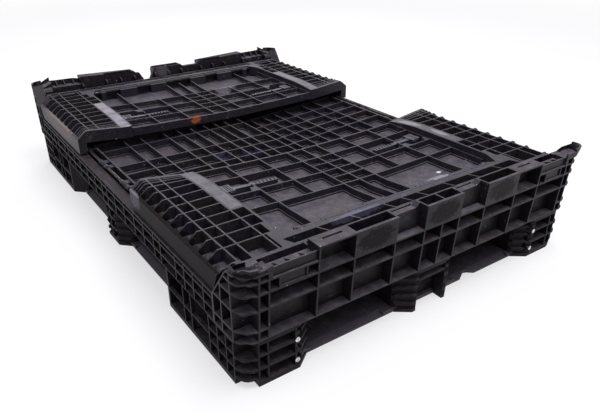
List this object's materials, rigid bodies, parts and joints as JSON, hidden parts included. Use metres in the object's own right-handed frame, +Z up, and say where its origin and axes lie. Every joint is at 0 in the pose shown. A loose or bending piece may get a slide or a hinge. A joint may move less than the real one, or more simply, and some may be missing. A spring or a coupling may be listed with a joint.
{
  "type": "collapsible bulk container",
  "caption": "Collapsible bulk container with pallet base, folding side and end walls, drop doors and sliding latches, stored folded flat.",
  "frame": {"origin": "centre of the footprint at floor level", "axes": "+X across the container to the right, +Y along its length away from the near end, +Z up"},
  "size_m": [1.219, 1.778, 0.346],
  "materials": {
    "black_plastic": "worn matte",
    "foot_plastic": "scuffed matte",
    "latch_plastic": "smooth matte",
    "steel_rod": "dull",
    "rivet_steel": "bright"
  },
  "bodies": {
    "base": {"deck": "black_plastic", "end_rail_near": "black_plastic", "end_rail_far": "black_plastic", "side_rail_left": "black_plastic", "side_rail_right": "black_plastic", "end_hinge_rod_near": "steel_rod", "end_hinge_rod_far": "steel_rod", "side_hinge_rod_left": "steel_rod", "side_hinge_rod_right": "steel_rod", "foot_near_left": "foot_plastic", "foot_near_middle": "foot_plastic", "foot_near_right": "foot_plastic", "foot_middle_left": "foot_plastic", "foot_centre": "foot_plastic", "foot_middle_right": "foot_plastic", "foot_far_left": "foot_plastic", "foot_far_middle": "foot_plastic", "foot_far_right": "foot_plastic", "foot_rivets": "rivet_steel", "runner_near": "foot_plastic", "runner_far": "foot_plastic", "runner_left": "foot_plastic", "runner_right": "foot_plastic"},
    "near_end_wall": {"end_wall_near": "black_plastic", "door_rod_near": "steel_rod"},
    "near_door": {"drop_door_near": "black_plastic"},
    "near_left_latch": {"latch_near_left": "latch_plastic"},
    "near_right_latch": {"latch_near_right": "latch_plastic"},
    "far_end_wall": {"end_wall_far": "black_plastic", "door_rod_far": "steel_rod"},
    "far_door": {"drop_door_far": "black_plastic"},
    "far_left_latch": {"latch_far_left": "latch_plastic"},
    "far_right_latch": {"latch_far_right": "latch_plastic"},
    "left_side_wall": {"side_wall_left": "black_plastic"},
    "right_side_wall": {"side_wall_right": "black_plastic"}
  },
  "joints": [
    {"name": "near_end_wall_fold", "type": "hinge", "parent": "base", "child": "near_end_wall", "pos_m": [0, -0.792, 0.292], "axis": [1, 0, 0], "range_deg": [0, 90]},
    {"name": "near_door_drop", "type": "hinge", "parent": "near_end_wall", "child": "near_door", "pos_m": [0, -0.738, 0.295], "axis": [1, 0, 0], "range_deg": [0, 95]},
    {"name": "near_left_latch_slide", "type": "slide", "parent": "near_door", "child": "near_left_latch", "axis": [1, 0, 0], "range_m": [0, 0.014], "stiffness_N_per_m": 400, "springref_m": -0.004},
    {"name": "near_right_latch_slide", "type": "slide", "parent": "near_door", "child": "near_right_latch", "axis": [-1, 0, 0], "range_m": [0, 0.014], "stiffness_N_per_m": 400, "springref_m": -0.004},
    {"name": "far_end_wall_fold", "type": "hinge", "parent": "base", "child": "far_end_wall", "pos_m": [0, 0.792, 0.292], "axis": [-1, 0, 0], "range_deg": [0, 90]},
    {"name": "far_door_drop", "type": "hinge", "parent": "far_end_wall", "child": "far_door", "pos_m": [0, 0.738, 0.295], "axis": [-1, 0, 0], "range_deg": [0, 95]},
    {"name": "far_left_latch_slide", "type": "slide", "parent": "far_door", "child": "far_left_latch", "axis": [1, 0, 0], "range_m": [0, 0.014], "stiffness_N_per_m": 400, "springref_m": -0.004},
    {"name": "far_right_latch_slide", "type": "slide", "parent": "far_door", "child": "far_right_latch", "axis": [-1, 0, 0], "range_m": [0, 0.014], "stiffness_N_per_m": 400, "springref_m": -0.004},
    {"name": "left_side_wall_fold", "type": "hinge", "parent": "base", "child": "left_side_wall", "pos_m": [-0.568, 0, 0.23], "axis": [0, -1, 0], "range_deg": [0, 0.6]},
    {"name": "right_side_wall_fold", "type": "hinge", "parent": "base", "child": "right_side_wall", "pos_m": [0.568, 0, 0.23], "axis": [0, 1, 0], "range_deg": [0, 0.2]}
  ]
}
